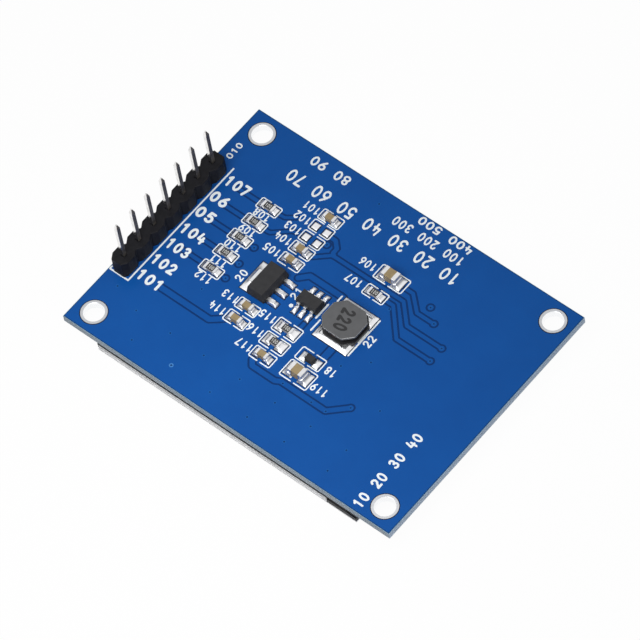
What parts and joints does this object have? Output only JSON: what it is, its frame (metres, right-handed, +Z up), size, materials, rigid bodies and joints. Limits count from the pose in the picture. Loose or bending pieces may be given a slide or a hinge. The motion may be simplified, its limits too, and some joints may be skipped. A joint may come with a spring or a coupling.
{
  "type": "small oled module",
  "caption": "Thin rectangular circuit board with a glass display panel taped to one face, chip parts and a straight pin header on the other, and a hole in each corner.",
  "frame": {"origin": "on the display face, at the middle of the four mounting holes; the module lies display face down on Z = 0", "axes": "+X along the board's long side, away from the pin header; +Y along its short side, towards the last pin; +Z up, out of the component side"},
  "size_m": [0.047, 0.034, 0.0112],
  "materials": {
    "blue_mask_board": "glass-fibre board under glossy blue solder mask",
    "tinned_copper": "tinned copper pads and rings, satin",
    "solder": "bright solder with soft sheen",
    "header_plastic": "moulded black plastic",
    "pin_metal": "tinned square pins",
    "mounting_tape": "pale double-sided tape",
    "panel_glass": "thin clear glass with ground edges",
    "polarizing_film": "near-black glossy film",
    "rear_glass": "thin grey-green glass",
    "drying_sheet": "matt off-white sheet",
    "silicon": "polished dark silicon",
    "black_coating": "black protective resin",
    "amber_film": "amber flexible circuit film",
    "chip_plastic": "dark grey moulded plastic",
    "tinned_lead": "matt tinned metal",
    "ferrite": "grey sintered ferrite",
    "wound_wire": "dark enamelled wire",
    "resistor_coat": "dark glassy coat over white ceramic",
    "capacitor_ceramic": "tan sintered ceramic",
    "chip_end_metal": "plated metal ends",
    "white_print": "white ink screened onto the mask"
  },
  "bodies": {
    "root": {"circuit_board": "blue_mask_board", "plated_pads": "tinned_copper", "solder_joints": "solder", "header_housing": "header_plastic", "header_pin_1": "pin_metal", "header_pin_2": "pin_metal", "header_pin_3": "pin_metal", "header_pin_4": "pin_metal", "header_pin_5": "pin_metal", "header_pin_6": "pin_metal", "header_pin_7": "pin_metal", "mounting_tape": "mounting_tape", "front_glass": "panel_glass", "polarizer": "polarizing_film", "cap_glass": "rear_glass", "desiccant": "drying_sheet", "driver_chip": "silicon", "driver_coating": "black_coating", "flex_tail": "amber_film", "regulator_body": "chip_plastic", "regulator_leads": "tinned_lead", "converter_body": "chip_plastic", "converter_leads": "tinned_lead", "inductor_core": "ferrite", "inductor_coil": "wound_wire", "inductor_terminals": "tinned_lead", "diode_body": "chip_plastic", "diode_leads": "tinned_lead", "resistor_1_body": "resistor_coat", "resistor_2_body": "resistor_coat", "resistor_3_body": "resistor_coat", "resistor_4_body": "resistor_coat", "resistor_5_body": "resistor_coat", "resistor_6_body": "resistor_coat", "resistor_7_body": "resistor_coat", "resistor_8_body": "resistor_coat", "resistor_1_ends": "chip_end_metal", "resistor_2_ends": "chip_end_metal", "resistor_3_ends": "chip_end_metal", "resistor_4_ends": "chip_end_metal", "resistor_5_ends": "chip_end_metal", "resistor_6_ends": "chip_end_metal", "resistor_7_ends": "chip_end_metal", "resistor_8_ends": "chip_end_metal", "capacitor_1_body": "capacitor_ceramic", "capacitor_2_body": "capacitor_ceramic", "capacitor_3_body": "capacitor_ceramic", "capacitor_4_body": "capacitor_ceramic", "capacitor_5_body": "capacitor_ceramic", "capacitor_6_body": "capacitor_ceramic", "capacitor_7_body": "capacitor_ceramic", "capacitor_8_body": "capacitor_ceramic", "capacitor_1_ends": "chip_end_metal", "capacitor_2_ends": "chip_end_metal", "capacitor_3_ends": "chip_end_metal", "capacitor_4_ends": "chip_end_metal", "capacitor_5_ends": "chip_end_metal", "capacitor_6_ends": "chip_end_metal", "capacitor_7_ends": "chip_end_metal", "capacitor_8_ends": "chip_end_metal"}
  },
  "joints": []
}
